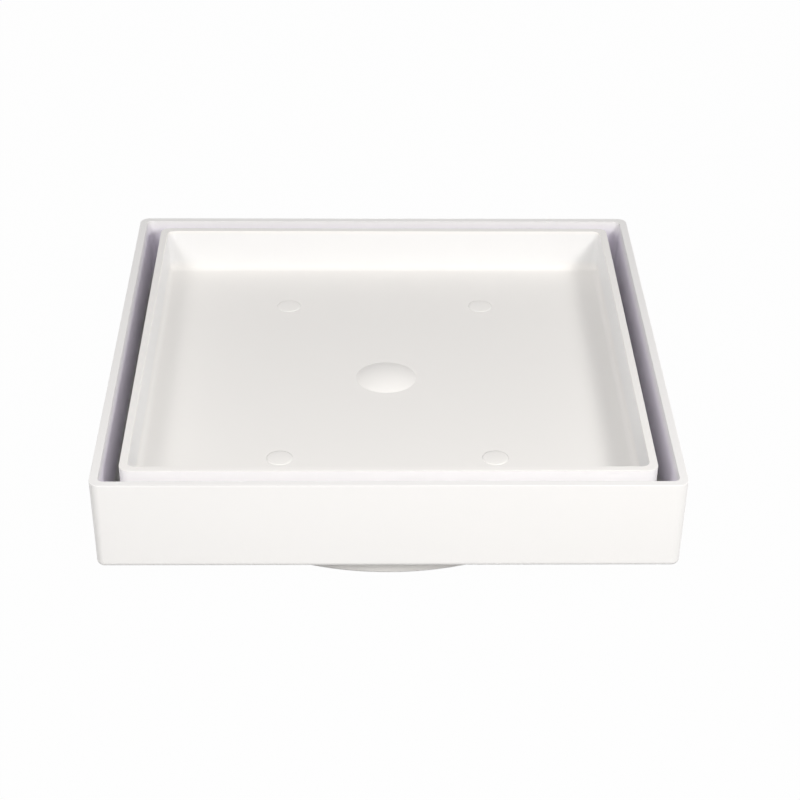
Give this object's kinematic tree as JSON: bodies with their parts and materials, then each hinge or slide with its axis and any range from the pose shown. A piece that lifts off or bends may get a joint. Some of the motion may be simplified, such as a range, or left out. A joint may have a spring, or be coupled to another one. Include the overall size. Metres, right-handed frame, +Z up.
{
  "type": "tile insert floor drain",
  "caption": "Square white plastic floor drain: an open drain body with a short pipe sleeve below, and a tile tray standing inside it with a water gap all round.",
  "frame": {"origin": "centre of the pipe sleeve's lower end, on which the drain stands", "axes": "+Z up along the sleeve's axis, out of the tile tray; X and Y along the sides of the square; -Y is the side that the picture shows"},
  "size_m": [0.11, 0.11, 0.025],
  "materials": {
    "white_plastic": "satin"
  },
  "bodies": {
    "root": {"drain_body": "white_plastic", "tile_insert": "white_plastic"}
  },
  "joints": []
}
